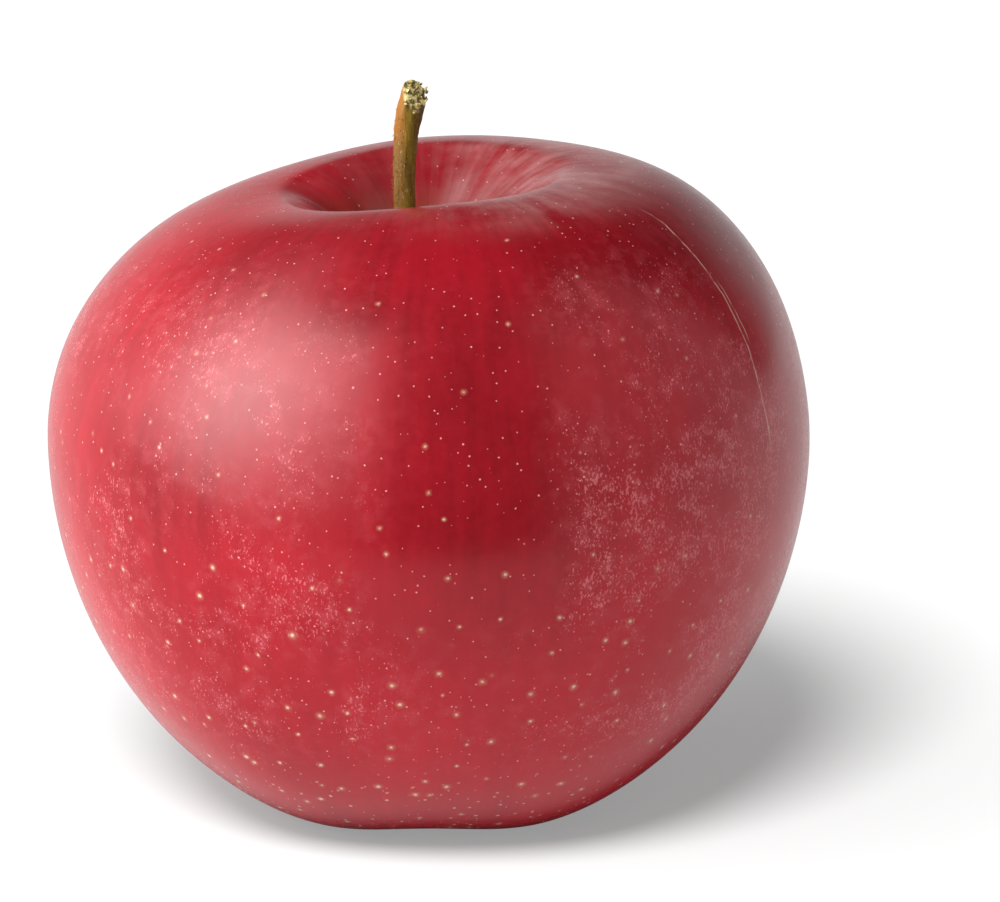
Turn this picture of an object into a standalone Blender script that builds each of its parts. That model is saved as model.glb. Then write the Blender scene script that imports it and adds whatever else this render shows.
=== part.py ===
"""A whole apple: the fruit, its stem and the dried calyx in the hollow of its base.

Metres, +Z up. The origin is on the fruit's axis, in the plane that its base lobes rest on.
"""
import math

import bmesh
import bpy
import numpy
from mathutils import Matrix, Vector

MM = 0.001

# Fruit, as a profile turned about its axis
FRUIT_WIDTH = 80.0 * MM
BELT_HEIGHT = 38.7 * MM       # the widest ring, above the rest plane
CROWN_HEIGHT = 66.6 * MM      # crest of the ring around the stem cavity
CROWN_RADIUS = 15.9 * MM
CAVITY_DEPTH = 14.0 * MM
BASE_RADIUS = 12.3 * MM       # crest of the ring that the fruit rests on
BASIN_DEPTH = 8.5 * MM
SHOULDER_FULLNESS = 2.0       # powers of the two superellipse quarters: 2 is an ellipse
BELLY_FULLNESS = 1.9
CAVITY_FLARE = 1.7            # power of the cavity wall: 1 is a cone

# What makes the fruit uneven
CROWN_TILT = math.radians(5.25)    # the crown rises towards +X
CROWN_SHIFT = -0.6 * MM            # the crown's crest lies off the axis
CAVITY_LEAN = -1.4 * MM            # the cavity's floor lies further off
CROWN_SADDLE = 0.45 * MM           # the crest is higher at the front and back than at the sides
LOBES = 5
LOBE_ANGLE = math.radians(90.0)    # one lobe faces the back
BELT_SWELL = 0.004                 # how far the lobes stand out, as a share of the radius
CROWN_SWELL = 0.012
BASE_SWELL = 0.015
LOBE_DROP = 0.35 * MM              # how far the base lobes reach below the base ring
REST_FLAT = 0.12 * MM              # how much of each lobe the rest plane takes off

# The fruit's cage: four columns to a lobe, and stations along each part of the profile
COLUMNS = 4 * LOBES
BASIN_STEPS = (0.68, 0.34)
BELLY_ANGLES = (90.0, 67.0, 45.0, 23.0)
SHOULDER_ANGLES = (0.0, 20.0, 40.0, 58.0, 75.0)
CAVITY_STEPS = (0.0, 0.27, 0.54, 0.80)
FRUIT_LEVELS = 2
SOLVE_ROUNDS = 30

# Fits
CLEARANCE = 0.3 * MM

# Stem: it stands in a socket under the cavity's floor
STEM_DIAMETER = 2.3 * MM
STEM_LENGTH = 24.0 * MM       # from the cavity's floor to the broken tip
SOCKET_DEPTH = 5.0 * MM
STEM_BOW = 0.8 * MM           # how far it bows towards -X on its way up
STEM_HOOK = 1.1 * MM          # how far the tip comes back towards +X
TIP_SWELL = 1.3               # the broken tip's diameter, as a share of the stem's

# Calyx: five dried sepals around a tuft of dried stamens
SEPALS = 5
SEPAL_RING = 3.6 * MM         # radius that the sepals grow from
SEPAL_LENGTH = 5.0 * MM
SEPAL_THICKNESS = 0.45 * MM
SEPAL_GAP = 0.5 * MM           # between neighbours, where they lean in most
SEPAL_INWARD = 1.0 * MM       # how far a sepal leans in at its waist
SEPAL_CURL = 1.8 * MM         # how far its point curls out again
TUFT_DIAMETER = 2.4 * MM
TUFT_LENGTH = 4.4 * MM


def make_material(name, colour, roughness):
    """A plain skin, bark or leaf colour."""
    material = bpy.data.materials.new(name)
    material.use_nodes = True
    shader = material.node_tree.nodes["Principled BSDF"]
    shader.inputs["Base Color"].default_value = (*colour, 1.0)
    shader.inputs["Roughness"].default_value = roughness
    shader.inputs["Metallic"].default_value = 0.0
    return material


def add_object(name, data, collection, material=None):
    """Link a new object and give it its material."""
    thing = bpy.data.objects.new(name, data)
    collection.objects.link(thing)
    if material:
        data.materials.append(material)
    return thing


def shade_smooth(mesh, angle=math.radians(40.0)):
    """Smooth shading that keeps cut edges sharp."""
    mesh.shade_smooth()
    mesh.set_sharp_from_angle(angle=angle)


def quarter(angle, fullness):
    """Across and up shares of a superellipse quarter, from (1, 0) to (0, 1)."""
    across = max(math.cos(angle), 0.0) ** (2 / fullness)
    up = math.sin(angle) ** (2 / fullness)
    return across, up


def basin_rise(inward):
    """Height share of the basin: level at its rim (0) and at its middle (1)."""
    return math.sin(inward * math.pi / 2) ** 2


def basin_height(radius):
    """Height of the basin's skin at a radius."""
    return BASIN_DEPTH * basin_rise(1 - radius / BASE_RADIUS)


def fruit_profile():
    """Stations from the basin's middle, round the outside, to the cavity's floor.

    Each is (radius, height, share of the base's form, share of the crown's, share of the cavity's).
    """
    belt = FRUIT_WIDTH / 2
    stations = [(0.0, BASIN_DEPTH, 0.0, 0.0, 0.0)]
    for step in BASIN_STEPS:
        radius = BASE_RADIUS * (1 - step)
        stations.append((radius, basin_height(radius), 1 - step, 0.0, 0.0))
    for degrees in BELLY_ANGLES:
        across, down = quarter(math.radians(degrees), BELLY_FULLNESS)
        radius = BASE_RADIUS + (belt - BASE_RADIUS) * across
        stations.append((radius, BELT_HEIGHT * (1 - down), down, 0.0, 0.0))
    for degrees in SHOULDER_ANGLES:
        across, up = quarter(math.radians(degrees), SHOULDER_FULLNESS)
        radius = CROWN_RADIUS + (belt - CROWN_RADIUS) * across
        height = BELT_HEIGHT + (CROWN_HEIGHT - BELT_HEIGHT) * up
        stations.append((radius, height, 0.0, math.sin(math.radians(degrees)), 0.0))
    for step in CAVITY_STEPS:
        height = CROWN_HEIGHT - CAVITY_DEPTH * step ** CAVITY_FLARE
        stations.append((CROWN_RADIUS * (1 - step), height, 0.0, 1.0, step))
    stations.append((0.0, CROWN_HEIGHT - CAVITY_DEPTH, 0.0, 1.0, 1.0))
    return stations


def fruit_point(station, angle):
    """A point of the fruit's surface: a station turned to an angle, with its lobes and tilt."""
    radius, height, base, crown, cavity = station
    lobe = math.cos(LOBES * (angle - LOBE_ANGLE))
    swell = BELT_SWELL + BASE_SWELL * base + CROWN_SWELL * crown * (1 - cavity)
    radius = radius * (1 + swell * lobe)
    x = radius * math.cos(angle)
    y = radius * math.sin(angle)
    height += base ** 3 * (LOBE_DROP * (1 - lobe) - REST_FLAT)
    height -= CROWN_SADDLE * math.cos(2 * angle) * crown * (1 - cavity)
    tilt = CROWN_TILT * crown
    shift = CROWN_SHIFT * crown + CAVITY_LEAN * cavity
    return x * math.cos(tilt) + shift, y, height + x * math.sin(tilt)


def smoothed(cage):
    """Where the subdivided surface passes over each point of a cage of rings and columns."""
    around = (numpy.roll(cage, 1, 1) + 4 * cage + numpy.roll(cage, -1, 1)) / 6
    along = around.copy()
    along[1:-1] = (around[:-2] + 4 * around[1:-1] + around[2:]) / 6
    return along


def cage_through(stations):
    """The cage whose subdivided surface passes through the stations themselves."""
    cage = stations.copy()
    for _ in range(SOLVE_ROUNDS):
        cage += stations - smoothed(cage)
    return cage


def cavity_floor():
    """The point where the stem leaves the fruit."""
    return Vector((CROWN_SHIFT + CAVITY_LEAN, 0.0, CROWN_HEIGHT - CAVITY_DEPTH))


def stem_radius():
    """The stem's own radius below its tip."""
    return STEM_DIAMETER / 2


def make_fruit(collection, cutters, material):
    """The fruit: a sphere cage moved to the profile, subdivided, then cut flat and socketed."""
    profile = fruit_profile()
    turns = [2 * math.pi * column / COLUMNS for column in range(COLUMNS)]
    stations = numpy.array([[fruit_point(station, turn) for turn in turns] for station in profile])
    cage = cage_through(stations)

    model = bmesh.new()
    bands = len(profile) - 1
    bmesh.ops.create_uvsphere(model, u_segments=COLUMNS, v_segments=bands, radius=1.0)
    for vertex in model.verts:
        x, y, z = vertex.co
        ring = round(math.acos(max(-1.0, min(1.0, -z))) / math.pi * bands)
        column = round(math.atan2(y, x) / (2 * math.pi) * COLUMNS) % COLUMNS
        vertex.co = cage[ring, column]
        if ring in (0, bands):
            vertex.co = cage[ring].mean(axis=0)
    bmesh.ops.recalc_face_normals(model, faces=model.faces)
    mesh = bpy.data.meshes.new("fruit")
    model.to_mesh(mesh)
    model.free()
    mesh.shade_smooth()

    fruit = add_object("fruit", mesh, collection, material)
    subdivide = fruit.modifiers.new("skin", "SUBSURF")
    subdivide.levels = FRUIT_LEVELS
    subdivide.render_levels = FRUIT_LEVELS
    cut(fruit, make_rest_cutter(cutters), "rest")
    cut(fruit, make_socket_cutter(cutters), "socket")
    return fruit


def cut(thing, cutter, name):
    """Take a cutter's shape out of an object."""
    boolean = thing.modifiers.new(name, "BOOLEAN")
    boolean.operation = "DIFFERENCE"
    boolean.solver = "EXACT"
    boolean.object = cutter


def add_cutter(name, model, collection):
    """Turn a cutter's mesh into an object that is only a guide."""
    mesh = bpy.data.meshes.new(name)
    model.to_mesh(mesh)
    model.free()
    cutter = add_object(name, mesh, collection)
    cutter.hide_render = True
    cutter.display_type = "WIRE"
    return cutter


def make_rest_cutter(collection):
    """A block under the rest plane, which leaves a small flat on each base lobe."""
    height = FRUIT_WIDTH / 4
    model = bmesh.new()
    bmesh.ops.create_cube(model, size=1.0)
    bmesh.ops.scale(model, vec=(2 * FRUIT_WIDTH, 2 * FRUIT_WIDTH, height), verts=model.verts)
    bmesh.ops.translate(model, vec=(0.0, 0.0, -height / 2), verts=model.verts)
    return add_cutter("rest_cutter", model, collection)


def make_socket_cutter(collection):
    """A round bar that drills the stem's blind socket from the cavity's mouth."""
    floor = cavity_floor()
    length = SOCKET_DEPTH + CAVITY_DEPTH
    middle = floor + Vector((0.0, 0.0, length / 2 - SOCKET_DEPTH))
    radius = stem_radius() + CLEARANCE
    model = bmesh.new()
    bmesh.ops.create_cone(
        model, cap_ends=True, segments=32, radius1=radius, radius2=radius, depth=length,
        matrix=Matrix.Translation(middle))
    return add_cutter("socket_cutter", model, collection)


def make_stem(collection, material):
    """The stem: a round bar of changing thickness, straight in its socket, hooked at its tip."""
    floor = cavity_floor()
    tip = STEM_LENGTH
    route = (
        (0.0, CLEARANCE - SOCKET_DEPTH, 1.0),
        (0.0, 0.0, 1.0),
        (-0.2 * STEM_BOW, 0.2 * tip, 1.0),
        (-0.8 * STEM_BOW, 0.5 * tip, 0.94),
        (-STEM_BOW, 0.75 * tip, 1.0),
        (-STEM_BOW + 0.35 * STEM_HOOK, 0.88 * tip, 0.5 + 0.5 * TIP_SWELL),
        (-STEM_BOW + STEM_HOOK, 0.97 * tip, TIP_SWELL),
    )
    curve = bpy.data.curves.new("stem", "CURVE")
    curve.dimensions = "3D"
    curve.bevel_depth = stem_radius()
    curve.bevel_resolution = 5
    curve.use_fill_caps = True
    curve.resolution_u = 5
    spline = curve.splines.new("BEZIER")
    spline.bezier_points.add(len(route) - 1)
    for point, (across, up, thickness) in zip(spline.bezier_points, route):
        point.co = floor + Vector((across, 0.0, up))
        point.radius = thickness
        point.handle_left_type = "AUTO"
        point.handle_right_type = "AUTO"
    return add_object("stem", curve, collection, material)


def sepal_width():
    """The widest that leaves the gap between neighbours."""
    waist = SEPAL_RING - SEPAL_INWARD - SEPAL_THICKNESS
    return 2 * waist * math.tan(math.pi / SEPALS) - SEPAL_GAP


def sepal_point(along, across):
    """A point on a sepal's middle surface, with the sepal growing down from its ring towards +X."""
    width = sepal_width() * (1 - along) ** 0.6 * (0.9 + along * (1 - along))
    inward = SEPAL_INWARD * math.sin(math.pi * min(along / 0.8, 1.0))
    outward = SEPAL_CURL * along ** 3
    x = SEPAL_RING - inward + outward - 0.5 * SEPAL_THICKNESS * across ** 2
    return x, across * width / 2, -SEPAL_LENGTH * along


def make_sepal(number, collection, material):
    """One of five: a small pointed leaf, cupped, leaning in and curling out at its point."""
    rows = 5
    model = bmesh.new()
    bmesh.ops.create_grid(model, x_segments=rows, y_segments=2, size=0.5)
    for vertex in model.verts:
        along = vertex.co.x + 0.5
        across = 2 * vertex.co.y
        vertex.co = sepal_point(0.96 * along, across)
    bmesh.ops.recalc_face_normals(model, faces=model.faces)
    mesh = bpy.data.meshes.new(f"sepal_{number}")
    model.to_mesh(mesh)
    model.free()
    mesh.shade_smooth()

    sepal = add_object(f"sepal_{number}", mesh, collection, material)
    sepal.location.z = calyx_seat()
    sepal.rotation_euler.z = LOBE_ANGLE + 2 * math.pi * (number - 0.5) / SEPALS
    thicken = sepal.modifiers.new("thickness", "SOLIDIFY")
    thicken.thickness = SEPAL_THICKNESS
    thicken.offset = 0.0
    thicken.use_even_offset = True
    subdivide = sepal.modifiers.new("leaf", "SUBSURF")
    subdivide.levels = 1
    subdivide.render_levels = 1
    return sepal


def calyx_seat():
    """Height of the sepals' upper ends, clear of the basin where they grow from."""
    return basin_height(SEPAL_RING + SEPAL_THICKNESS) - CLEARANCE


def make_tuft(collection, material):
    """The dried stamens: one small tapered tuft in the middle of the sepals."""
    radius = TUFT_DIAMETER / 2
    model = bmesh.new()
    top = basin_height(TUFT_DIAMETER) - CLEARANCE
    bmesh.ops.create_cone(
        model, cap_ends=True, segments=16, radius1=0.7 * radius, radius2=radius, depth=TUFT_LENGTH,
        matrix=Matrix.Translation((0.0, 0.0, top - TUFT_LENGTH / 2)))
    mesh = bpy.data.meshes.new("stamens")
    model.to_mesh(mesh)
    model.free()
    shade_smooth(mesh)
    return add_object("stamens", mesh, collection, material)


def main():
    """Clear the scene and build the apple."""
    for thing in list(bpy.data.objects):
        bpy.data.objects.remove(thing, do_unlink=True)
    apple = bpy.data.collections.new("apple")
    cutters = bpy.data.collections.new("apple_cutters")
    bpy.context.scene.collection.children.link(apple)
    bpy.context.scene.collection.children.link(cutters)

    make_fruit(apple, cutters, make_material("red_skin", (0.38, 0.012, 0.022), 0.32))
    make_stem(apple, make_material("stem_bark", (0.20, 0.16, 0.035), 0.7))
    dried = make_material("dried_calyx", (0.11, 0.07, 0.035), 0.85)
    for number in range(1, SEPALS + 1):
        make_sepal(number, apple, dried)
    make_tuft(apple, dried)


main()
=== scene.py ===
"""A whole red apple: its skin, woody stem and dried calyx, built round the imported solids."""
import logging
import math
import random
from collections.abc import Iterable
from dataclasses import dataclass, field, replace
from enum import Enum
from typing import NamedTuple

import bmesh
import bpy
from mathutils import Matrix, Vector


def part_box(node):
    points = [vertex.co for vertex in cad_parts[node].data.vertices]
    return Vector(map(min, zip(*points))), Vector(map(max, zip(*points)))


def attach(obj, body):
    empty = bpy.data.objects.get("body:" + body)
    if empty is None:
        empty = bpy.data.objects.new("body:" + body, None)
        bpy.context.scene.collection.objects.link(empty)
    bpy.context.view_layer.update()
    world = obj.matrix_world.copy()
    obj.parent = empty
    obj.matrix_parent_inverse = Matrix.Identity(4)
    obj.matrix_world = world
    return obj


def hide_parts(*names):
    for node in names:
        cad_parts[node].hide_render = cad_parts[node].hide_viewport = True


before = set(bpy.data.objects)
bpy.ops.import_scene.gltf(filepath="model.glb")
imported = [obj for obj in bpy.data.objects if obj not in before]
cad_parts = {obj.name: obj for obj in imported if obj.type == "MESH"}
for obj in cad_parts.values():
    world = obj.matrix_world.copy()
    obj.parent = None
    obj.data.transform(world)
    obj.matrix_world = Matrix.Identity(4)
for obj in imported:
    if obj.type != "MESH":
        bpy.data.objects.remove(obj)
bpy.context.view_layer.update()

BODY = "root"
MM = 0.001
LOG = logging.getLogger("apple")

Colour = tuple[float, float, float]
Value = float | Colour | bpy.types.NodeSocket


class Slot(Enum):
    """The record's material slots."""

    SKIN = "skin"
    STEM = "stem"
    CALYX = "calyx"
    STAMENS = "stamens"


class Axis(Enum):
    """Axes that a ring or a row is turned about."""

    X = "X"
    Y = "Y"


class Bench:
    """The hand movements that every piece is made with."""

    @staticmethod
    def clear() -> None:
        """Deselect everything, so that the next operator acts on one piece only."""
        bpy.ops.object.select_all(action="DESELECT")

    @staticmethod
    def take(piece: bpy.types.Object) -> None:
        """Make a piece the only one selected, and active.

        Args:
            piece: The piece.
        """
        Bench.clear()
        piece.select_set(True)
        bpy.context.view_layer.objects.active = piece

    @staticmethod
    def open(piece: bpy.types.Object) -> None:
        """Go into edit mode, picking by vertex.

        Args:
            piece: The piece to open.
        """
        Bench.take(piece)
        bpy.context.tool_settings.mesh_select_mode = (True, False, False)
        bpy.ops.object.mode_set(mode="EDIT")

    @staticmethod
    def close() -> None:
        """Leave edit mode."""
        bpy.ops.object.mode_set(mode="OBJECT")

    @staticmethod
    def pick(piece: bpy.types.Object, chosen: Iterable[int]) -> None:
        """Select some vertices and nothing else.

        Args:
            piece: The piece, which is open in edit mode.
            chosen: The vertices' numbers.
        """
        bpy.ops.mesh.select_all(action="DESELECT")
        model = bmesh.from_edit_mesh(piece.data)
        model.verts.ensure_lookup_table()
        for number in chosen:
            model.verts[number].select = True
        model.select_flush_mode()
        bmesh.update_edit_mesh(piece.data)

    @staticmethod
    def picked(piece: bpy.types.Object) -> list[int]:
        """Numbers of the selected vertices of a piece that is open in edit mode."""
        model = bmesh.from_edit_mesh(piece.data)
        return [vertex.index for vertex in model.verts if vertex.select]

    @staticmethod
    def turn(angle: float, axis: Axis, about: Vector) -> None:
        """Rotate what is selected by the right-hand rule.

        Args:
            angle: In radians.
            axis: The world axis to turn about.
            about: A point on that axis.
        """
        bpy.ops.transform.rotate(value=-angle, orient_axis=axis.value, center_override=about)

    @staticmethod
    def modify(piece: bpy.types.Object, kind: str, **settings: object) -> None:
        """Add a modifier, set it and apply it.

        Args:
            piece: The piece.
            kind: The modifier's type.
            settings: Its properties.
        """
        Bench.take(piece)
        modifier = piece.modifiers.new(kind.lower(), kind)
        for name, value in settings.items():
            setattr(modifier, name, value)
        bpy.ops.object.modifier_apply(modifier=modifier.name)

    @staticmethod
    def smooth(piece: bpy.types.Object, levels: int) -> None:
        """Subdivide a cage into its smooth surface."""
        Bench.modify(piece, "SUBSURF", levels=levels, render_levels=levels)

    @staticmethod
    def face_out(piece: bpy.types.Object) -> None:
        """Point every face outwards.

        Args:
            piece: The piece, which is closed.
        """
        Bench.open(piece)
        bpy.ops.mesh.select_all(action="SELECT")
        bpy.ops.mesh.normals_make_consistent(inside=False)
        Bench.close()

    @staticmethod
    def join(parts: list[bpy.types.Object]) -> None:
        """Join several pieces into the first of them.

        Args:
            parts: The pieces.
        """
        Bench.clear()
        for part in parts:
            part.select_set(True)
        bpy.context.view_layer.objects.active = parts[0]
        bpy.ops.object.join()

    @staticmethod
    def finish(piece: bpy.types.Object, name: str, slot: Slot, finish: bpy.types.Material,
               nodes: tuple[str, ...]) -> bpy.types.Object:
        """Name and dress a piece, and let it stand for its solids.

        Args:
            piece: The finished shape.
            name: What the piece is called.
            slot: The record's slot; not used.
            finish: Its material.
            nodes: The CAD nodes that it stands for.

        Returns:
            The same piece, with its place in its mesh.
        """
        Bench.take(piece)
        bpy.ops.object.transform_apply(location=True, rotation=True, scale=True)
        bpy.ops.object.shade_smooth()
        piece.name = name
        piece.data.name = name
        piece.data.materials.clear()
        piece.data.materials.append(finish)
        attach(piece, BODY)
        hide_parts(*nodes)
        LOG.info("%s: %d faces", name, len(piece.data.polygons))
        return piece


class Graph:
    """A node tree, with short words for the nodes that the finishes and the surround use."""

    def __init__(self, tree: bpy.types.NodeTree) -> None:
        """Start with an empty tree.

        Args:
            tree: The tree of a material or a world.
        """
        self.tree = tree
        self.tree.nodes.clear()

    def add(self, kind: str, inputs: dict[str | int, Value] | None = None,
            **settings: object) -> bpy.types.Node:
        """Add a node.

        Args:
            kind: The node's type.
            inputs: What feeds its sockets, by name or number.
            settings: Its properties.

        Returns:
            The node.
        """
        node = self.tree.nodes.new(kind)
        for name, value in settings.items():
            setattr(node, name, value)
        for name, value in (inputs or {}).items():
            self.feed(node.inputs[name], value)
        return node

    def feed(self, socket: bpy.types.NodeSocket, value: Value) -> None:
        """Link a socket to another's output, or set it.

        Args:
            socket: The input.
            value: An output, a number or a colour.
        """
        if isinstance(value, bpy.types.NodeSocket):
            self.tree.links.new(value, socket)
        elif socket.type == "RGBA":
            socket.default_value = (*value, 1.0)
        else:
            socket.default_value = value

    def math(self, operation: str, a: Value, b: Value = 0.0, clamp: bool = False) -> Value:
        """One step of arithmetic."""
        node = self.add("ShaderNodeMath", {0: a, 1: b}, operation=operation, use_clamp=clamp)
        return node.outputs[0]

    def plus(self, a: Value, b: Value) -> Value:
        """The sum of two values."""
        return self.math("ADD", a, b)

    def minus(self, a: Value, b: Value) -> Value:
        """The first value less the second."""
        return self.math("SUBTRACT", a, b)

    def bare(self, value: Value) -> Value:
        """A value without its sign."""
        return self.math("ABSOLUTE", value)

    def times(self, *factors: Value) -> Value:
        """Multiply values.

        Args:
            factors: Two or more of them.

        Returns:
            Their product.
        """
        result = factors[0]
        for factor in factors[1:]:
            result = self.math("MULTIPLY", result, factor)
        return result

    def most(self, *values: Value) -> Value:
        """Compare values.

        Args:
            values: Two or more of them.

        Returns:
            The largest.
        """
        result = values[0]
        for value in values[1:]:
            result = self.math("MAXIMUM", result, value)
        return result

    def step(self, value: Value, low: float, high: float, start: float = 0.0,
             end: float = 1.0) -> Value:
        """Make a soft step.

        Args:
            value: What is compared.
            low: The value where the step begins.
            high: The value where it is over; it may be less than low.
            start: The result at low.
            end: The result at high.

        Returns:
            The result.
        """
        node = self.add(
            "ShaderNodeMapRange",
            {"Value": value, "From Min": low, "From Max": high, "To Min": start, "To Max": end},
            interpolation_type="SMOOTHSTEP")
        return node.outputs["Result"]

    def mix(self, factor: Value, a: Value, b: Value) -> Value:
        """A colour between two."""
        node = self.add("ShaderNodeMix", {0: factor, 6: a, 7: b}, data_type="RGBA")
        return node.outputs[2]

    def split(self, vector: Value) -> tuple[Value, Value, Value]:
        """A vector's three numbers."""
        node = self.add("ShaderNodeSeparateXYZ", {0: vector})
        return tuple(node.outputs)

    def join(self, x: Value, y: Value, z: Value) -> Value:
        """A vector from three numbers."""
        return self.add("ShaderNodeCombineXYZ", {0: x, 1: y, 2: z}).outputs[0]

    def noise(self, vector: Value, size: float, detail: float = 2.0, rough: float = 0.5) -> Value:
        """Make cloudy noise.

        Args:
            vector: Where it is read.
            size: The width of its patches, in the vector's own units.
            detail: How many finer layers it has.
            rough: How strong they are.

        Returns:
            The noise, around 0.5.
        """
        node = self.add(
            "ShaderNodeTexNoise",
            {"Vector": vector, "Scale": 1 / size, "Detail": detail, "Roughness": rough})
        return node.outputs[0]

    def vector(self, operation: str, a: Value, b: Value = (0.0, 0.0, 0.0)) -> Value:
        """One step of vector arithmetic."""
        return self.add("ShaderNodeVectorMath", {0: a, 1: b}, operation=operation).outputs[0]

    def spots(self, around: Value, reach: float, spacing: float,
              blur: Value = 0.0) -> tuple[Value, Value]:
        """Scattered round spots on a round body.

        Args:
            around: Where the surface is, from the body's middle.
            reach: The body's radius, roughly.
            spacing: How far apart the spots are.
            blur: A length added to the distance, which makes the outlines uneven.

        Returns:
            The distance along the surface from the nearest spot's middle, and a random number
            from 0 to 1 that belongs to that spot.
        """
        cells = self.add("ShaderNodeTexVoronoi", {"Vector": around, "Scale": 1 / spacing}, feature="F1")
        seed = self.vector("NORMALIZE", cells.outputs["Position"])
        here = self.vector("NORMALIZE", around)
        apart = self.add("ShaderNodeVectorMath", {0: seed, 1: here}, operation="DISTANCE")
        length = self.times(apart.outputs["Value"], reach)
        mixed = self.along(cells.outputs["Color"], (17.3, 31.7, 23.9))
        return self.plus(length, blur), self.math("FRACT", mixed)

    def along(self, vector: Value, way: Colour) -> Value:
        """How far a vector goes along a way: their dot product."""
        node = self.add("ShaderNodeVectorMath", {0: vector, 1: way}, operation="DOT_PRODUCT")
        return node.outputs["Value"]


class Dressing(Graph):
    """A material's graph: a Principled shader, fed from Object coordinates."""

    def __init__(self, name: str) -> None:
        """Start a material.

        Args:
            name: What the material is called.
        """
        self.material = bpy.data.materials.new(name)
        self.material.use_nodes = True
        super().__init__(self.material.node_tree)
        self.shader = self.add("ShaderNodeBsdfPrincipled")
        self.add("ShaderNodeOutputMaterial", {"Surface": self.shader.outputs["BSDF"]})
        self.place = self.add("ShaderNodeTexCoord").outputs["Object"]

    def set(self, **values: Value) -> None:
        """Feed the shader's sockets, named with underscores for spaces."""
        for name, value in values.items():
            self.feed(self.shader.inputs[name.replace("_", " ")], value)

    def bump(self, height: Value, depth: float) -> None:
        """Raise the surface by a height from 0 to 1, times a depth in metres."""
        node = self.add("ShaderNodeBump", {"Height": height, "Distance": depth, "Strength": 1.0})
        self.feed(self.shader.inputs["Normal"], node.outputs[0])


class Place(NamedTuple):
    """Where a point of the skin is, seen from the fruit's middle."""

    around: Value    # the way to it, in metres
    x: Value         # how far to the right
    turn: tuple[Value, Value]    # its bearing round the axis, as a cosine and a sine
    rise: Value      # its angle above the belt


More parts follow.
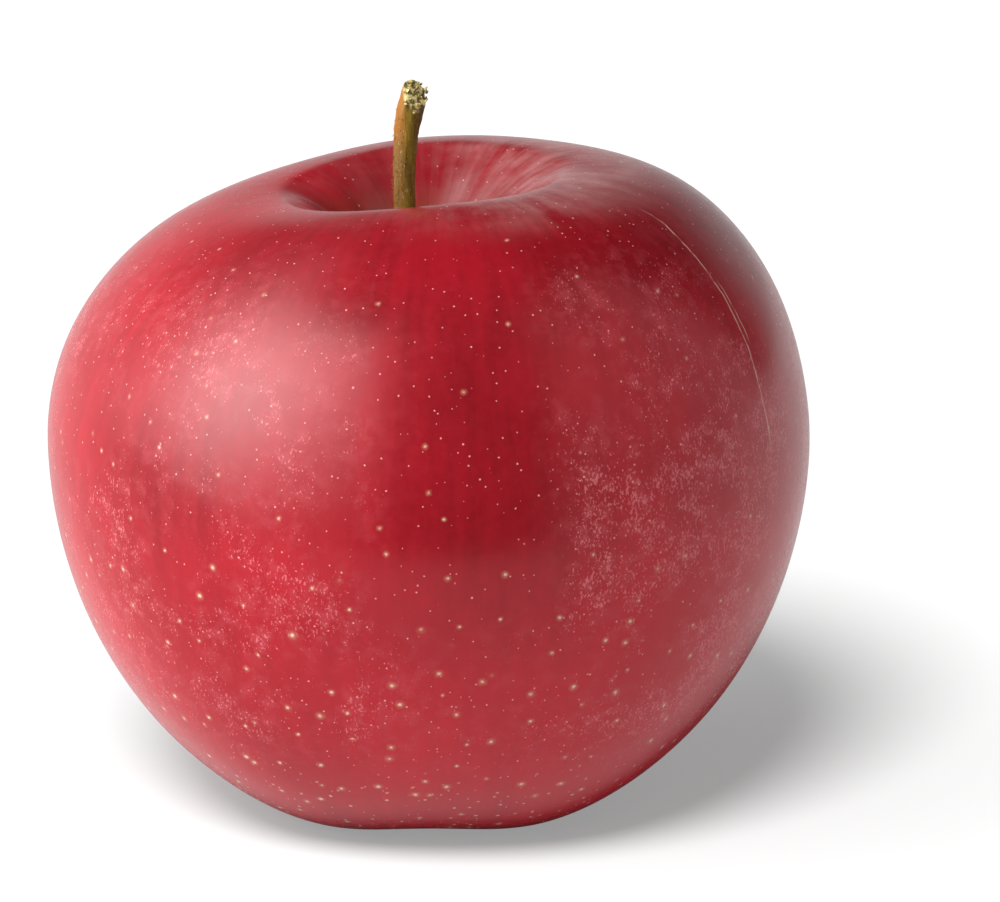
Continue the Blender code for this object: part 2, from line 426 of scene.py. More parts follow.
@dataclass(frozen=True)
class SkinFinish:
    """Waxed red skin: mottled ground with painted light, a grey bloom with painted sheen, clouds of
    pale flecks, pinpricks, lenticels and one scar.
    """

    middle: Vector
    reach: float
    deep: Colour = (0.192, 0.0035, 0.0080)
    # The lighter red, used for the red's own patches and for the painted light.
    bright: Colour = (0.46, 0.0085, 0.020)
    fleck: Colour = (0.72, 0.19, 0.21)
    haze: Colour = (0.56, 0.12, 0.14)
    prick: Colour = (0.78, 0.36, 0.35)
    cream: Colour = (0.80, 0.60, 0.42)
    tan: Colour = (0.54, 0.24, 0.16)
    # Partly wax bloom, partly painted sheen.
    bloom_and_sheen: Colour = (0.46, 0.25, 0.24)
    russet: Colour = (0.17, 0.058, 0.022)
    basin: Colour = (0.20, 0.13, 0.030)
    scar: Colour = (0.72, 0.45, 0.36)
    roughness: float = 0.22
    wax_ior: float = 1.42
    crest: float = 28 * MM
    scar_bearing: float = math.radians(61.5)

    def make(self) -> bpy.types.Material:
        """Build the material, layer over layer.

        Returns:
            The material.
        """
        g = Dressing("apple_skin")
        around = g.vector("SUBTRACT", g.place, tuple(self.middle))
        x, y, z = g.split(around)
        across = g.math("SQRT", g.plus(g.times(x, x), g.times(y, y)))
        rise = g.math("ARCTAN2", z, across)
        turn = (g.math("DIVIDE", x, across), g.math("DIVIDE", y, across))

        at = Place(around, x, turn, rise)
        colour, mottle = self.ground(g, at)
        colour, flecks = self.add_flecks(g, colour, at)
        colour = self.add_bloom_and_sheen(g, colour, at)
        colour = self.add_pricks(g, colour, at)
        colour, core = self.add_lenticels(g, colour, at)
        colour, cut = self.add_scar(g, colour, at)

        waxy = g.step(mottle, 0.3, 0.7, self.roughness - 0.02, self.roughness + 0.03)
        rough = g.plus(g.times(flecks, 0.16), waxy)
        g.set(Base_Color=colour, Roughness=rough, IOR=self.wax_ior)
        wax = g.noise(around, 0.9 * MM, 2.0, 0.5)
        height = g.plus(g.times(wax, 0.35), g.times(core, 0.5))
        g.bump(g.minus(height, g.times(cut, 0.8)), 0.007 * MM)
        return g.material

    @staticmethod
    def meridian(g: Graph, turn: tuple[Value, Value], rise: Value, stretch: float) -> Value:
        """Coordinates whose noise is drawn out along the meridians."""
        return g.join(turn[0], turn[1], g.times(rise, 1 / stretch))

    def ground(self, g: Graph, at: Place) -> tuple[Value, Value]:
        """Make the red: broad patches, faint streaks, a fine mottle, and painted light that makes it
        lighter below, on the left and on the right flank.

        Args:
            g: The material's graph.
            at: The place.

        Returns:
            The colour, and the mottle.
        """
        around, _, turn, rise = at
        streak = g.noise(self.meridian(g, turn, rise, 7.0), 0.045, 3.0, 0.6)
        patch = g.noise(around, 17 * MM, 2.0, 0.5)
        mottle = g.noise(around, 1.1 * MM, 3.0, 0.6)
        # Painted bounce light: the red is lighter below, where light from the board falls.
        low = g.times(g.step(rise, 0.15, -0.50, 0.0, 0.72), g.step(turn[0], -0.45, -0.10, 0.70, 1.0))
        # Painted light: the red is lighter on the right flank, under the shoulder.
        right = g.times(g.step(turn[0], 0.24, 0.62, 0.0, 0.58), g.step(rise, 0.70, 0.35))
        # Painted light: the red is lighter under the left highlight and on the lit left limb.
        off = g.bare(g.plus(turn[0], 0.30))
        left = g.most(g.times(g.step(off, 0.42, 0.0, 0.0, 0.44), g.step(rise, -0.30, -0.05),
                              g.step(rise, 0.60, 0.42)),
                      g.step(turn[0], -0.60, -0.95, 0.0, 0.38))
        fine = g.plus(g.times(patch, 0.75), g.times(mottle, 0.28))
        even = g.plus(g.times(streak, 0.55), fine)
        # These three terms are painted light, added to the red's own patches and streaks.
        painted_light = g.plus(low, g.plus(left, right))
        share = g.math("ADD", g.step(even, 0.55, 1.05, 0.0, 0.34), painted_light, clamp=True)
        return g.mix(share, self.deep, self.bright), mottle

    def add_flecks(self, g: Graph, colour: Value, at: Place) -> tuple[Value, Value]:
        """Add short pale dashes, crowded into clouds on the flanks.

        Args:
            g: The material's graph.
            colour: The colour so far.
            at: The place.

        Returns:
            The colour, and where the flecks are.
        """
        around, _, turn, rise = at
        clear = g.step(g.bare(g.minus(turn[0], 0.10)), 0.15, 0.32, 0.05, 1.0)
        flank = g.most(clear, g.step(rise, -0.10, -0.35, 0.0, 0.60))
        where = g.times(flank, g.step(rise, -0.85, -0.50), g.step(rise, 0.30, 0.95, 1.0, 0.10),
                        g.step(turn[0], 0.0, 0.3, 0.80, 1.0))
        cloud = g.times(g.step(g.noise(around, 13 * MM, 4.0, 0.65), 0.34, 0.62), where)
        clump = g.noise(around, 1.8 * MM, 3.0, 0.65)
        dash = g.noise(self.meridian(g, turn, rise, 1.5), 0.0062, 2.0, 0.65)
        lift = g.times(cloud, g.plus(g.times(clump, 0.36), 0.07))
        flecks = g.step(g.plus(dash, lift), 0.76, 0.86)
        haze = g.times(cloud, g.step(clump, 0.42, 0.66), 0.26)
        colour = g.mix(haze, colour, self.haze)
        return g.mix(g.times(flecks, 0.55), colour, self.fleck), flecks

    def add_bloom_and_sheen(self, g: Graph, colour: Value, at: Place) -> Value:
        """Add a grey bloom, partly wax and partly painted sheen, that runs into the cavity, russet at
        its bottom, and an olive basin.

        Args:
            g: The material's graph.
            colour: The colour so far.
            at: The place.

        Returns:
            The colour.
        """
        around, _, turn, rise = at
        streak = g.noise(self.meridian(g, turn, rise, 5.0), 0.10, 4.0, 0.65)
        patch = g.noise(around, 5 * MM, 3.0, 0.6)
        cover = g.plus(g.times(streak, 0.42), g.times(patch, 0.58))
        # The pale streaks are partly wax bloom and partly painted sheen, strongest towards +X.
        upper = g.times(g.step(rise, 0.78, 1.02), g.step(turn[0], -0.1, 0.6, 0.2, 1.0))
        inside = g.step(self.depth(g, around), 0.5 * MM, 5.0 * MM, 0.52, 0.24)
        colour = g.mix(g.times(g.step(cover, 0.32, 0.70), upper, inside), colour, self.bloom_and_sheen)
        floor = g.times(g.step(rise, 0.95, 1.1), g.step(turn[0], 0.5, -0.3, 0.35, 1.0),
                        g.step(self.depth(g, around), 2.0 * MM, 8.5 * MM))
        colour = g.mix(g.times(floor, 0.85), colour, self.russet)
        return g.mix(g.step(rise, -1.34, -1.50, 0.0, 0.75), colour, self.basin)

    def depth(self, g: Graph, around: Value) -> Value:
        """How far below the crest a point lies."""
        return g.minus(self.crest, g.split(around)[2])

    def add_pricks(self, g: Graph, colour: Value, at: Place) -> Value:
        """Add pale pinpricks everywhere.

        Args:
            g: The material's graph.
            colour: The colour so far.
            at: The place.

        Returns:
            The colour.
        """
        around = at.around
        uneven = g.times(g.minus(g.noise(around, 0.25 * MM, 1.0, 0.5), 0.5), 0.16 * MM)
        apart, chance = g.spots(around, self.reach, 1.15 * MM, uneven)
        size = g.step(chance, 0.55, 1.0, -0.04 * MM, 0.075 * MM)
        mask = g.step(g.minus(apart, size), -0.03 * MM, 0.05 * MM, 1, 0)
        return g.mix(g.times(mask, g.step(chance, 0.55, 0.95, 0.0, 0.85)), colour, self.prick)

    def add_lenticels(self, g: Graph, colour: Value, at: Place) -> tuple[Value, Value]:
        """Add cream pores with tan halos, crowded round the base.

        Args:
            g: The material's graph.
            colour: The colour so far.
            at: The place.

        Returns:
            The colour, and where the pores are.
        """
        around, _, _, rise = at
        uneven = g.times(g.minus(g.noise(around, 0.5 * MM, 2.0, 0.6), 0.5), 0.42 * MM)
        apart, chance = g.spots(around, self.reach, 4.6 * MM, uneven)
        apart = g.math("DIVIDE", apart, g.step(chance, 0.3, 1.0, 1.2, 0.7))
        kept = g.step(g.plus(chance, g.step(rise, 0.12, -0.35, -0.22, 0.34)), 0.56, 0.62)
        halo = g.times(g.step(apart, 0.05 * MM, 0.60 * MM, 1, 0), kept)
        core = g.times(g.step(apart, 0.0, 0.25 * MM, 1, 0), kept)
        low = g.step(rise, -0.62, -0.95)
        small, chance = g.spots(around, self.reach, 3.1 * MM, uneven)
        speck = g.times(g.step(small, 0.06 * MM, 0.22 * MM, 1, 0), low, g.step(chance, 0.2, 0.3))
        colour = g.mix(g.times(halo, 0.45), colour, self.tan)
        core = g.most(g.times(core, g.step(rise, 0.3, -0.3, 0.45, 0.85)), g.times(speck, 0.7))
        return g.mix(core, colour, self.cream), core

    def add_scar(self, g: Graph, colour: Value, at: Place) -> tuple[Value, Value]:
        """Add one thin pale scratch down the right shoulder, double in its middle.

        Args:
            g: The material's graph.
            colour: The colour so far.
            at: The place.

        Returns:
            The colour, and where the scratch is.
        """
        around, x, _, rise = at
        wander = g.times(g.minus(g.noise(around, 5 * MM, 3.0, 0.6), 0.5), 1.6 * MM)
        across = (math.cos(self.scar_bearing), math.sin(self.scar_bearing), 0.0)
        off = g.plus(g.along(around, across), wander)
        first = g.step(g.bare(off), 0.05 * MM, 0.16 * MM, 1, 0)
        beside = g.bare(g.minus(off, 0.75 * MM))
        second = g.times(g.step(beside, 0.03 * MM, 0.12 * MM, 1, 0),
                         g.step(rise, 0.36, 0.42), g.step(rise, 0.58, 0.52, 0, 1))
        reach = g.times(g.step(rise, 0.08, 0.16), g.step(rise, 0.86, 0.74), g.step(x, 0.0, 0.01))
        broken = g.step(g.noise(around, 1.5 * MM, 2.0, 0.6), 0.34, 0.52, 0.25, 1.0)
        mask = g.times(g.most(first, second), reach, broken)
        return g.mix(g.times(mask, 0.8), colour, self.scar), mask


@dataclass(frozen=True)
class BarkFinish:
    """Olive and orange-brown stem bark with pale fuzz, and a pale broken end."""

    olive: Colour = (0.200, 0.138, 0.008)
    brown: Colour = (0.175, 0.078, 0.010)
    orange: Colour = (0.300, 0.108, 0.008)
    dark: Colour = (0.105, 0.050, 0.006)
    pith: Colour = (0.70, 0.58, 0.25)
    gap: Colour = (0.13, 0.095, 0.016)
    fuzz: Colour = (0.46, 0.40, 0.24)
    roughness: float = 0.55

    def make(self, axis: float, cut: Vector, way: Vector) -> bpy.types.Material:
        """Build the material.

        Args:
            axis: Where the stem stands along X.
            cut: A point of the broken face.
            way: The way that the broken face looks.

        Returns:
            The material.
        """
        g = Dressing("stem_bark")
        x, y, z = g.split(g.place)
        grain = g.noise(g.join(x, y, g.times(z, 0.10)), 0.45 * MM, 3.0, 0.6)
        patch = g.noise(g.place, 2.0 * MM, 3.0, 0.6)
        side = g.plus(g.minus(x, axis), g.times(patch, 1.4 * MM))
        left = g.mix(g.step(z, 0.069, 0.073), self.brown, self.orange)
        colour = g.mix(g.step(side, -0.5 * MM, 0.9 * MM), left, self.olive)
        # Painted shade: the bark is darker towards its right-hand side, away from the light.
        colour = g.mix(g.step(side, 1.1 * MM, 2.0 * MM, 0.0, 0.7), colour, self.dark)
        colour = g.mix(g.step(grain, 0.50, 0.68, 0.0, 0.75), colour, self.dark)
        hairs = g.noise(g.join(x, y, g.times(z, 0.5)), 0.20 * MM, 2.0, 0.6)
        fuzzy = g.times(g.step(hairs, 0.60, 0.70), g.step(z, 0.060, 0.066), g.step(z, 0.0745, 0.0715))
        colour = g.mix(g.times(fuzzy, 0.55), colour, self.fuzz)
        past = g.along(g.vector("SUBTRACT", g.place, tuple(cut)), tuple(way))
        torn = g.step(g.plus(past, g.times(patch, 0.25 * MM)), -0.35 * MM, 0.0)
        fibre = g.noise(g.place, 0.6 * MM, 3.0, 0.6)
        colour = g.mix(torn, colour, g.mix(g.step(fibre, 0.44, 0.55), self.gap, self.pith))
        g.set(Base_Color=colour, Specular_IOR_Level=0.3,
              Roughness=g.step(torn, 0.0, 1.0, self.roughness, 0.35))
        g.bump(g.plus(g.times(grain, 0.7), g.times(hairs, 0.3)), 0.10 * MM)
        return g.material


@dataclass(frozen=True)
class DriedFinish:
    """Dried leaf and stamen: brown, mottled light and dark, dull."""

    name: str
    light: Colour
    dark: Colour
    grain: float

    def make(self) -> bpy.types.Material:
        """Build the material.

        Returns:
            The material.
        """
        g = Dressing(self.name)
        patch = g.noise(g.place, self.grain, 4.0, 0.6)
        veins = g.noise(g.place, self.grain / 4, 2.0, 0.5)
        g.set(Base_Color=g.mix(g.step(patch, 0.35, 0.65), self.dark, self.light),
              Roughness=0.85, Specular_IOR_Level=0.2)
        g.bump(veins, 0.1 * MM)
        return g.material


@dataclass(frozen=True)
class Ring:
    """One ring of the fruit's cage, with how much of each uneven form it takes."""

    radius: float
    height: float
    base: float = 0.0
    crown: float = 0.0
    cavity: float = 0.0


@dataclass
class Fruit:
    """The fruit, from the middle of its basin round the outside to the floor of its cavity."""

    width: float
    belt_height: float = 38.7 * MM
    crown_height: float = 66.6 * MM
    crown_radius: float = 15.9 * MM
    cavity_depth: float = 14.0 * MM
    base_radius: float = 12.3 * MM
    basin_depth: float = 8.5 * MM
    shoulder_fullness: float = 2.0
    belly_fullness: float = 1.9
    cavity_flare: float = 1.7
    crown_tilt: float = math.radians(5.25)
    crown_shift: float = -0.6 * MM
    cavity_lean: float = -1.4 * MM
    crown_saddle: float = 0.45 * MM
    lobes: int = 5
    lobe_angle: float = math.radians(90.0)
    belt_swell: float = 0.004
    crown_swell: float = 0.012
    base_swell: float = 0.015
    lobe_drop: float = 0.35 * MM
    rest_flat: float = 0.12 * MM
    columns: int = 40
    furrow: float = 0.05
    undulation: float = 0.18 * MM
    rings: list[Ring] = field(default_factory=list)
    members: list[list[int]] = field(default_factory=list)

    def plan(self) -> list[Ring]:
        """Place the cage's rings so that, smoothed, they pass over the profile itself.

        Returns:
            The rings, from the basin up.
        """
        wanted = self.profile()
        radii = self.stood_off([ring.radius for ring in wanted])
        heights = self.stood_off([ring.height for ring in wanted])
        return [replace(ring, radius=radius, height=height)
                for ring, radius, height in zip(wanted, radii, heights)]

    @staticmethod
    def stood_off(wanted: list[float]) -> list[float]:
        """Undo in advance what a subdivided surface smooths away.

        Args:
            wanted: The values that the surface must have.

        Returns:
            The cage's values.
        """
        values = list(wanted)
        for _ in range(20):
            smooth = [(a + 4 * b + c) / 6 for a, b, c in zip(values, values[1:], values[2:])]
            inner = [v + w - s for v, w, s in zip(values[1:-1], wanted[1:-1], smooth)]
            values = [values[0], *inner, values[-1]]
        return values

    def profile(self) -> list[Ring]:
        """Walk along the fruit's surface.

        Returns:
            Rings on it, from the basin up.
        """
        belt = self.width / 2
        rings = []
        for step in (0.88, 0.72, 0.56, 0.40, 0.26, 0.13):
            height = self.basin_depth * math.sin(step * math.pi / 2) ** 2
            rings.append(Ring(self.base_radius * (1 - step), height, base=1 - step))
        for degrees in range(90, 0, -10):
            across, down = self.quarter(degrees, self.belly_fullness)
            radius = self.base_radius + (belt - self.base_radius) * across
            rings.append(Ring(radius, self.belt_height * (1 - down), base=down))
        for degrees in range(0, 90, 10):
            across, up = self.quarter(degrees, self.shoulder_fullness)
            radius = self.crown_radius + (belt - self.crown_radius) * across
            height = self.belt_height + (self.crown_height - self.belt_height) * up
            rings.append(Ring(radius, height, crown=math.sin(math.radians(degrees))))
        for step in (0.0, 0.11, 0.22, 0.34, 0.46, 0.58, 0.70, 0.81, 0.91):
            height = self.crown_height - self.cavity_depth * step ** self.cavity_flare
            rings.append(Ring(self.crown_radius * (1 - step), height, crown=1.0, cavity=step))
        return rings

    @staticmethod
    def quarter(degrees: float, fullness: float) -> tuple[float, float]:
        """Across and up shares of a superellipse quarter, from (1, 0) to (0, 1)."""
        angle = math.radians(degrees)
        return max(math.cos(angle), 0.0) ** (2 / fullness), math.sin(angle) ** (2 / fullness)

    def build(self, finish: bpy.types.Material) -> bpy.types.Object:
        """Model the fruit ring by ring, smooth it and cut its rest flats.

        Args:
            finish: The skin.

        Returns:
            The fruit.
        """
        self.rings = self.plan()
        piece = self.pull_rings()
        self.grow_lobes(piece)
        self.tilt_crown(piece)
        self.crease_cavity(piece)
        Bench.close()
        Bench.face_out(piece)
        Bench.smooth(piece, 3)
        self.roughen(piece)
        self.flatten_base(piece)
        return Bench.finish(piece, "apple_fruit", Slot.SKIN, finish, ("fruit",))

    def pull_rings(self) -> bpy.types.Object:
        """Start at the basin with a disc, and extrude and scale its rim from ring to ring.

        Returns:
            The closed cage, open in edit mode.
        """
        first = self.rings[0]
        spread = 3 / (2 + math.cos(2 * math.pi / self.columns))
        Bench.clear()
        bpy.ops.mesh.primitive_circle_add(
            vertices=self.columns, radius=first.radius * spread, fill_type="TRIFAN",
            location=(0.0, 0.0, 0.0))
        piece = bpy.context.object
        Bench.open(piece)
        model = bmesh.from_edit_mesh(piece.data)
        rim = [v.index for v in model.verts if v.co.length > first.radius / 2]
        middle = [v.index for v in model.verts if v.co.length <= first.radius / 2]
        Bench.pick(piece, rim + middle)
        bpy.ops.transform.translate(value=(0.0, 0.0, first.height))
        Bench.pick(piece, middle)
        bpy.ops.transform.translate(value=(0.0, 0.0, self.basin_depth - first.height))
        Bench.pick(piece, rim)
        self.members = [rim]
        for before, after in zip(self.rings, self.rings[1:]):
            bpy.ops.mesh.extrude_edges_move(
                TRANSFORM_OT_translate={"value": (0.0, 0.0, after.height - before.height)})
            ratio = after.radius / before.radius
            bpy.ops.transform.resize(
                value=(ratio, ratio, 1.0), center_override=(0.0, 0.0, after.height))
            self.members.append(Bench.picked(piece))
        bpy.ops.mesh.edge_face_add()
        bpy.ops.mesh.poke()
        return piece

    def columns_by(self, piece: bpy.types.Object, ring: list[int], waves: int,
                   start: float) -> dict[float, list[int]]:
        """Sort a ring's vertices by their height on a wave that runs round it.

        Args:
            piece: The piece, open in edit mode.
            ring: The ring's vertices.
            waves: How many waves go round.
            start: The angle of one crest.

        Returns:
            The vertices for each height, from -1 to 1.
        """
        model = bmesh.from_edit_mesh(piece.data)
        model.verts.ensure_lookup_table()
        groups: dict[float, list[int]] = {}
        for number in ring:
            point = model.verts[number].co
            share = round(math.cos(waves * (math.atan2(point.y, point.x) - start)), 3)
            groups.setdefault(share, []).append(number)
        return groups

    def grow_lobes(self, piece: bpy.types.Object) -> None:
        """Swell and drop each ring's lobes, and raise the crest's front and back.

        Args:
            piece: The cage, open in edit mode.
        """
        for ring, members in zip(self.rings, self.members):
            swell = self.belt_swell + self.base_swell * ring.base
            swell += self.crown_swell * ring.crown * (1 - ring.cavity)
            saddle = self.crown_saddle * ring.crown * (1 - ring.cavity)
            for share, chosen in self.columns_by(piece, members, self.lobes, self.lobe_angle).items():
                Bench.pick(piece, chosen)
                ratio = 1 + swell * share
                lift = ring.base ** 3 * (self.lobe_drop * (1 - share) - self.rest_flat)
                bpy.ops.transform.resize(
                    value=(ratio, ratio, 1.0), center_override=(0.0, 0.0, ring.height))
                bpy.ops.transform.translate(value=(0.0, 0.0, lift))
            if saddle:
                for share, chosen in self.columns_by(piece, members, 2, 0.0).items():
                    Bench.pick(piece, chosen)
                    bpy.ops.transform.translate(value=(0.0, 0.0, -saddle * share))

    def tilt_crown(self, piece: bpy.types.Object) -> None:
        """Turn the upper rings so that the crown rises towards +X, and move the cavity over.

        Args:
            piece: The cage, open in edit mode.
        """
        for ring, members in zip(self.rings, self.members):
            if ring.crown:
                shift = self.crown_shift * ring.crown + self.cavity_lean * ring.cavity
                Bench.pick(piece, members)
                Bench.turn(-self.crown_tilt * ring.crown, Axis.Y, Vector((0.0, 0.0, ring.height)))
                bpy.ops.transform.translate(value=(shift, 0.0, 0.0))
        last = self.rings[-1]
        model = bmesh.from_edit_mesh(piece.data)
        known = {number for members in self.members for number in members}
        loose = [v.index for v in model.verts
                 if v.index not in known and v.co.z > self.belt_height]
        Bench.pick(piece, loose)
        floor = self.crown_height - self.cavity_depth
        bpy.ops.transform.translate(
            value=(self.crown_shift + self.cavity_lean, 0.0, floor - last.height))

    def crease_cavity(self, piece: bpy.types.Object) -> None:
        """Press uneven furrows down the cavity's wall, column by column.

        Args:
            piece: The cage, open in edit mode.
        """
        chance = random.Random(11)
        centre = (self.crown_shift + self.cavity_lean / 2, 0.0, self.crown_height)
        walls = [members for ring, members in zip(self.rings, self.members)
                 if 0.2 < ring.cavity < 0.9]
        for column in range(self.columns):
            Bench.pick(piece, [members[column] for members in walls])
            ratio = 1 + self.furrow * chance.uniform(-1.0, 1.0)
            bpy.ops.transform.resize(value=(ratio, ratio, 1.0), center_override=centre)

    def roughen(self, piece: bpy.types.Object) -> None:
        """Leave the slow swells of a grown surface.

        Args:
            piece: The smoothed fruit.
        """
        clouds = bpy.data.textures.new("swells", "CLOUDS")
        clouds.noise_scale = 0.022
        clouds.noise_depth = 1
        Bench.modify(piece, "DISPLACE", texture=clouds, strength=self.undulation, mid_level=0.5)

    def flatten_base(self, piece: bpy.types.Object) -> None:
        """Cut the lobes off at the rest plane.

        Args:
            piece: The smoothed fruit.
        """
        Bench.open(piece)
        bpy.ops.mesh.select_all(action="SELECT")
        bpy.ops.mesh.bisect(
            plane_co=(0.0, 0.0, 0.0), plane_no=(0.0, 0.0, 1.0), use_fill=True, clear_inner=True,
            threshold=1e-6)
        Bench.close()


@dataclass
class Thread:
    """A thin bent strand: a stamen, a fibre of torn wood, a hair or a bead of bark."""

    foot: Vector
    way: Vector
    radius: float
    widths: tuple[float, ...]
    pace: float
    bend: float
    levels: int = 1

    def build(self, chance: random.Random) -> bpy.types.Object:
        """Extrude the strand step by step, letting it wander a little.

        Args:
            chance: Where its turns come from.

        Returns:
            The strand as a closed piece.
        """
        Bench.clear()
        bpy.ops.mesh.primitive_circle_add(
            vertices=6, radius=self.radius, fill_type="NGON", location=(0, 0, 0),
            rotation=self.way.to_track_quat("Z", "Y").to_euler())
        piece = bpy.context.object
        Bench.take(piece)
        bpy.ops.object.transform_apply(location=False, rotation=True, scale=False)
        Bench.open(piece)
        bpy.ops.mesh.select_all(action="SELECT")
        bpy.ops.transform.translate(value=self.foot)
        here = self.foot.copy()
        way = self.way.normalized()
        for width in self.widths:
            lean = Vector([chance.uniform(-self.bend, self.bend) for _ in range(3)])
            way = (way + lean).normalized()
            here += way * self.pace
            bpy.ops.mesh.extrude_region_move(TRANSFORM_OT_translate={"value": way * self.pace})
            bpy.ops.transform.resize(value=(width, width, width), center_override=here)
        Bench.close()
        Bench.face_out(piece)
        if self.levels:
            Bench.smooth(piece, self.levels)
        return piece


@dataclass
class Stem:
    """The woody stem, from its foot in the cavity to its broken, hooked tip."""

    foot: Vector
    diameter: float = 2.3 * MM
    sides: int = 20
    # across, up, thickness, lean of the ring in degrees
    route: tuple[tuple[float, float, float, float], ...] = (
        (0.00, -4.0, 1.00, 0.0),
        (0.00, 0.0, 1.22, 0.0),
        (-0.06, 2.0, 1.06, -3.0),
        (-0.22, 5.0, 0.98, -3.0),
        (-0.38, 8.0, 0.97, -2.0),
        (-0.52, 11.0, 0.98, -2.0),
        (-0.57, 14.0, 1.02, 0.0),
        (-0.53, 16.5, 1.06, 2.0),
        (-0.42, 18.3, 1.12, 6.0),
        (-0.26, 19.7, 1.20, 12.0),
        (-0.02, 21.0, 1.27, 18.0),
        (0.30, 22.2, 1.27, 21.0),
        (0.66, 23.4, 1.22, 22.0),
        (1.05, 24.8, 1.15, 22.0),
        (1.45, 26.4, 1.10, 22.0),
    )
    break_at: Vector = field(default_factory=lambda: Vector((0.86, 0.0, 23.0)) * MM)
    break_way: Vector = field(default_factory=lambda: Vector((0.52, -0.62, 0.58)).normalized())
    fibres: int = 40
    hairs: int = 110

    def build(self, finish: bpy.types.Material) -> bpy.types.Object:
        """Extrude the stem along its route, break it, tear the break and give it bark.

        Args:
            finish: The bark.

        Returns:
            The stem, with its fibres, beads and hairs.
        """
        piece = self.pull_along()
        self.break_off(piece)
        Bench.close()
        Bench.face_out(piece)
        Bench.smooth(piece, 2)
        self.roughen(piece)
        Bench.join([piece, *self.make_fibres(), *self.make_nodules(), *self.make_hairs()])
        return Bench.finish(piece, "woody_stem", Slot.STEM, finish, ("stem",))

    def point(self, number: int) -> Vector:
        """A point of the route, in the frame."""
        across, up = self.route[number][:2]
        return self.foot + Vector((across, 0.0, up)) * MM

    def pull_along(self) -> bpy.types.Object:
        """Start with a disc below the cavity's floor and extrude it from point to point.

        Returns:
            The stem, open in edit mode.
        """
        Bench.clear()
        bpy.ops.mesh.primitive_circle_add(
            vertices=self.sides, radius=self.diameter / 2, fill_type="NGON", location=(0, 0, 0))
        piece = bpy.context.object
        Bench.open(piece)
        bpy.ops.mesh.select_all(action="SELECT")
        bpy.ops.transform.translate(value=self.point(0))
        for number in range(1, len(self.route)):
            here = self.point(number)
            before, after = self.route[number - 1], self.route[number]
            bpy.ops.mesh.extrude_region_move(
                TRANSFORM_OT_translate={"value": here - self.point(number - 1)})
            ratio = after[2] / before[2]
            bpy.ops.transform.resize(value=(ratio, ratio, ratio), center_override=here)
            Bench.turn(math.radians(after[3] - before[3]), Axis.Y, here)
        return piece

    def break_off(self, piece: bpy.types.Object) -> None:
        """Cut the tip off aslant, and dish the cut unevenly inside its rim.

        Args:
            piece: The stem, open in edit mode.
        """
        centre = self.foot + self.break_at
        bpy.ops.mesh.select_all(action="SELECT")
        bpy.ops.mesh.bisect(
            plane_co=centre, plane_no=self.break_way, use_fill=True, clear_outer=True)
        model = bmesh.from_edit_mesh(piece.data)
        Bench.pick(piece, [v.index for v in model.verts
                           if abs((v.co - centre).dot(self.break_way)) < 0.02 * MM])
        bpy.ops.mesh.inset(thickness=0.10 * MM, depth=0.0)
        bpy.ops.mesh.inset(thickness=0.22 * MM, depth=0.0)
        bpy.ops.transform.translate(value=self.break_way * -0.30 * MM)
        bpy.ops.transform.vertex_random(offset=0.10 * MM, seed=5)
        bpy.ops.mesh.inset(thickness=0.30 * MM, depth=0.0)
        bpy.ops.transform.translate(value=self.break_way * 0.22 * MM)
        bpy.ops.transform.vertex_random(offset=0.12 * MM, seed=8)
        bpy.ops.mesh.poke()

    def make_fibres(self) -> list[bpy.types.Object]:
        """Make torn fibres, most of them round the rim of the break.

        Returns:
            The fibres.
        """
        chance = random.Random(21)
        centre = self.foot + self.break_at
        side = self.break_way.cross(Vector((0.0, 1.0, 0.3))).normalized()
        top = side.cross(self.break_way)
        fibres = []
        for number in range(self.fibres):
            turn = 2.4 * number
            out = (1.18 if number % 3 else chance.uniform(0.15, 0.85)) * chance.uniform(0.9, 1.02) * MM
            spot = centre + side * math.cos(turn) * out + top * math.sin(turn) * out * 1.18
            spot -= self.break_way * 0.22 * MM
            way = (self.break_way + Vector((0.25, 0.0, 0.55)) * chance.uniform(0.2, 1.2)).normalized()
            thread = Thread(spot, way, chance.uniform(0.10, 0.19) * MM, (1.15, 0.9, 0.7, 0.5),
                            chance.uniform(0.07, 0.12) * MM, 0.35)
            fibres.append(thread.build(chance))
        return fibres

    def make_nodules(self) -> list[bpy.types.Object]:
        """Make two pale beads of corky bark below the break.

        Returns:
            The beads.
        """
        beads = []
        for across, up, radius in ((-0.38, 22.1, 0.20), (0.44, 21.2, 0.17)):
            centre = self.foot + Vector((across, -1.36, up)) * MM
            bead = Thread(centre, Vector((0.0, -1.0, 0.2)), 0.5 * radius * MM,
                          (1.9, 1.15, 0.85, 0.5), 0.45 * radius * MM, 0.05)
            beads.append(bead.build(random.Random(3)))
        return beads

    def make_hairs(self) -> list[bpy.types.Object]:
        """Make short pale hairs along the bark, most of them half way up and on the left.

        Returns:
            The hairs.
        """
        chance = random.Random(12)
        hairs = []
        for _ in range(self.hairs):
            up = min(max(chance.gauss(15.0, 3.2), 6.0), 21.5)
            turn = math.radians(chance.gauss(-65.0, 70.0))
            out = Vector((math.sin(turn), -math.cos(turn), 0.0))
            foot = self.foot + Vector((self.lean(up), 0.0, up)) * MM + out * self.thickness(up)
            way = out * 0.9 + Vector((0.0, 0.0, -1.0)) * chance.uniform(0.3, 1.2)
            hair = Thread(foot - out * 0.05 * MM, way, 0.035 * MM, (0.9, 0.8, 0.4),
                          chance.uniform(0.06, 0.13) * MM, 0.25, levels=0)
            hairs.append(hair.build(chance))
        return hairs

